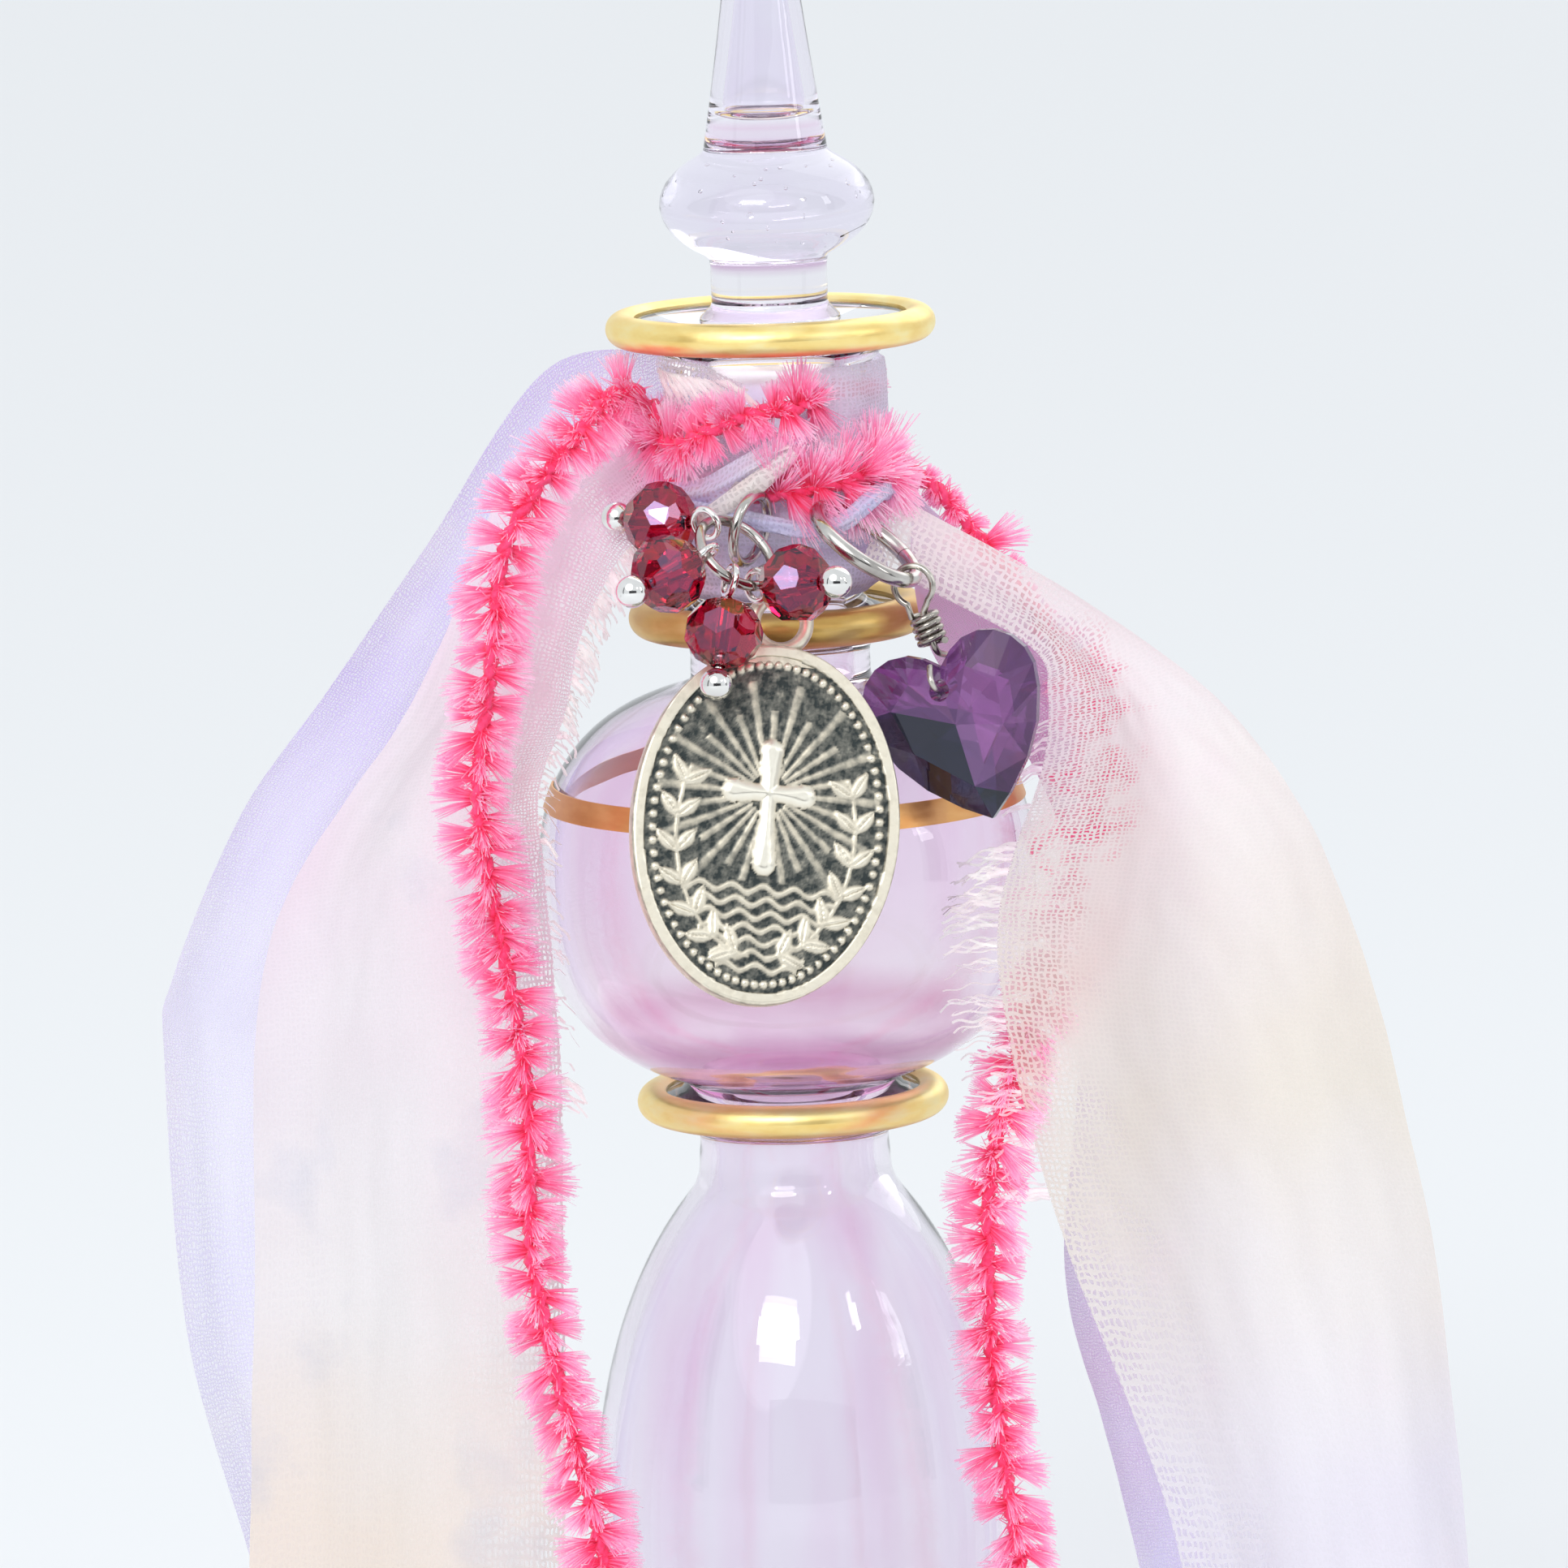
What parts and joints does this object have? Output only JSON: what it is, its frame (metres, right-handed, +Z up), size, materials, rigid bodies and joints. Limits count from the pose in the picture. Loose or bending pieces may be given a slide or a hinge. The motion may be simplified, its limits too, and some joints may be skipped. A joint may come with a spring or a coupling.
{
  "type": "holy water bottle",
  "caption": "Slender stoppered glass bottle for holy water, with gilded rings, sheer ribbons and yarn tied at its neck, and charms that hang on linked rings.",
  "frame": {"origin": "centre of the flat face under the foot", "axes": "+Z up along the bottle's axis, -Y towards the charms, +X to the viewer's right"},
  "size_m": [0.1034, 0.0448, 0.178],
  "materials": {
    "tinted_glass": "clear, pale violet and pink",
    "clear_glass": "clear, very pale violet",
    "gilding": "glossy gilt",
    "chiffon": "sheer, hand dyed",
    "organza": "sheer",
    "yarn": "tufted",
    "silver_wire": "polished",
    "dark_wire": "aged",
    "oxidised_silver": "oxidised",
    "violet_crystal": "cut crystal",
    "red_glass": "cut glass, coated"
  },
  "bodies": {
    "bottle": {"bottle_glass": "tinted_glass", "foot_gilding": "gilding", "collar_gilding": "gilding", "bulb_band_gilding": "gilding", "neck_ring_gilding": "gilding", "mouth_gilding": "gilding", "chiffon_neck_wrap": "chiffon", "organza_neck_wrap": "organza", "chiffon_tie": "chiffon", "chiffon_left_tail": "chiffon", "chiffon_right_tail": "chiffon", "organza_left_tail": "organza", "organza_right_tail": "organza", "yarn_neck_winding": "yarn", "yarn_left_tail": "yarn", "yarn_right_tail": "yarn"},
    "stopper": {"stopper": "clear_glass"},
    "hanger_ring": {"hanger_ring": "silver_wire"},
    "cluster_ring": {"cluster_ring": "silver_wire"},
    "medal_ring": {"medal_ring": "silver_wire"},
    "medal": {"medal": "oxidised_silver"},
    "charm_ring": {"charm_ring": "silver_wire"},
    "heart": {"heart": "violet_crystal", "heart_wire": "dark_wire"},
    "bead_drop_1": {"red_bead_1": "red_glass", "head_pin_1": "silver_wire"},
    "bead_drop_2": {"red_bead_2": "red_glass", "head_pin_2": "silver_wire"},
    "bead_drop_3": {"red_bead_3": "red_glass", "head_pin_3": "silver_wire"},
    "bead_drop_4": {"red_bead_4": "red_glass", "head_pin_4": "silver_wire"}
  },
  "joints": [
    {"name": "stopper_lift", "type": "slide", "parent": "bottle", "child": "stopper", "axis": [0, 0, 1], "range_m": [0, 0.03]},
    {"name": "hanger_swing", "type": "hinge", "parent": "bottle", "child": "hanger_ring", "pos_m": [-0.002, -0.0112, 0.1122], "axis": [-1, 0, 0], "range_deg": [0, 8]},
    {"name": "cluster_swing", "type": "hinge", "parent": "hanger_ring", "child": "cluster_ring", "pos_m": [-0.00255, -0.0139, 0.11098], "axis": [-1, 0, 0], "range_deg": [0, 6]},
    {"name": "drop_1_swing", "type": "hinge", "parent": "cluster_ring", "child": "bead_drop_1", "pos_m": [-0.00528, -0.01502, 0.11253], "axis": [0.5725, 0.788, 0.2267], "range_deg": [0, 25]},
    {"name": "drop_2_swing", "type": "hinge", "parent": "cluster_ring", "child": "bead_drop_2", "pos_m": [-0.00543, -0.01794, 0.11046], "axis": [-0.6186, 0.3568, 0.7], "range_deg": [0, 25]},
    {"name": "drop_3_swing", "type": "hinge", "parent": "cluster_ring", "child": "bead_drop_3", "pos_m": [-0.00165, -0.01738, 0.10796], "axis": [-0.7095, -0.7036, 0.0398], "range_deg": [0, 25]},
    {"name": "drop_4_swing", "type": "hinge", "parent": "cluster_ring", "child": "bead_drop_4", "pos_m": [-0.00361, -0.01846, 0.10867], "axis": [-0.9062, -0.2897, 0.3079], "range_deg": [0, 20]},
    {"name": "medal_ring_swing", "type": "hinge", "parent": "cluster_ring", "child": "medal_ring", "pos_m": [-0.00059, -0.01582, 0.10831], "axis": [-1, 0, 0], "range_deg": [0, 3]},
    {"name": "medal_sway", "type": "hinge", "parent": "medal_ring", "child": "medal", "pos_m": [0.00019, -0.01536, 0.10583], "axis": [-0.1908, 0.9816, 0], "range_deg": [0, 4]},
    {"name": "charm_ring_swing", "type": "hinge", "parent": "bottle", "child": "charm_ring", "pos_m": [0.0052, -0.0109, 0.112], "axis": [0, -1, 0], "range_deg": [0, 6]},
    {"name": "heart_swing", "type": "hinge", "parent": "charm_ring", "child": "heart", "pos_m": [0.01016, -0.01376, 0.10762], "axis": [-0.3256, -0.9455, 0], "range_deg": [0, 15]}
  ]
}
